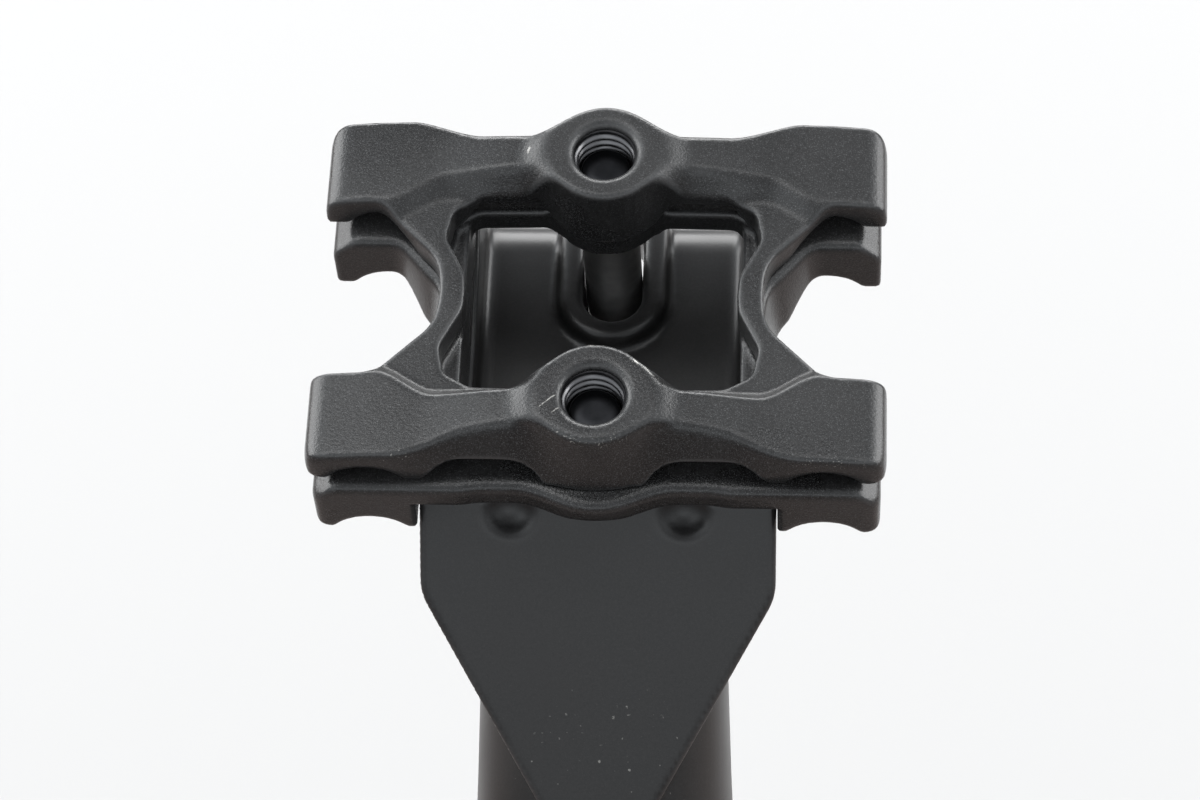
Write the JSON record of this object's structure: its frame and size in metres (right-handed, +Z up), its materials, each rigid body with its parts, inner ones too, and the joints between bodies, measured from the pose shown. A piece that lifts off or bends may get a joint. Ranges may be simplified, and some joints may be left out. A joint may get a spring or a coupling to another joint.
{
  "type": "bicycle seatpost",
  "caption": "Black anodised bicycle seatpost with a swept-back, shield-fronted head and an H-shaped saddle clamp pulled down by bolts from below.",
  "frame": {"origin": "centre of the tube's lower end, on the tube's axis", "axes": "+Z up along the tube's axis, +Y towards the rear of the bicycle, +X across it"},
  "size_m": [0.0562, 0.065, 0.3629],
  "materials": {
    "post_black": "satin black anodised",
    "clamp_black": "blasted black anodised",
    "bolt_steel": "plain steel",
    "washer_steel": "plain steel"
  },
  "bodies": {
    "post": {"post": "post_black"},
    "clamp": {"lower_clamp": "clamp_black", "upper_clamp": "clamp_black"},
    "front_screw": {"front_bolt": "bolt_steel", "front_washer": "washer_steel"},
    "rear_screw": {"rear_bolt": "bolt_steel", "rear_washer": "washer_steel"}
  },
  "joints": [
    {"name": "saddle_tilt", "type": "hinge", "parent": "post", "child": "clamp", "pos_m": [0, 0.01503, 0.37577], "axis": [1, 0, 0], "range_deg": [-2.5, 4]},
    {"name": "front_bolt_travel", "type": "slide", "parent": "clamp", "child": "front_screw", "axis": [0, -0.309, 0.9511], "range_m": [-0.001, 0.0012]},
    {"name": "rear_bolt_travel", "type": "slide", "parent": "clamp", "child": "rear_screw", "axis": [0, -0.309, 0.9511], "range_m": [-0.0012, 0.001]}
  ],
  "couplings": [
    {"joint": "front_bolt_travel", "follows": "saddle_tilt", "m_per_rad": 0.014},
    {"joint": "rear_bolt_travel", "follows": "saddle_tilt", "m_per_rad": -0.014}
  ]
}
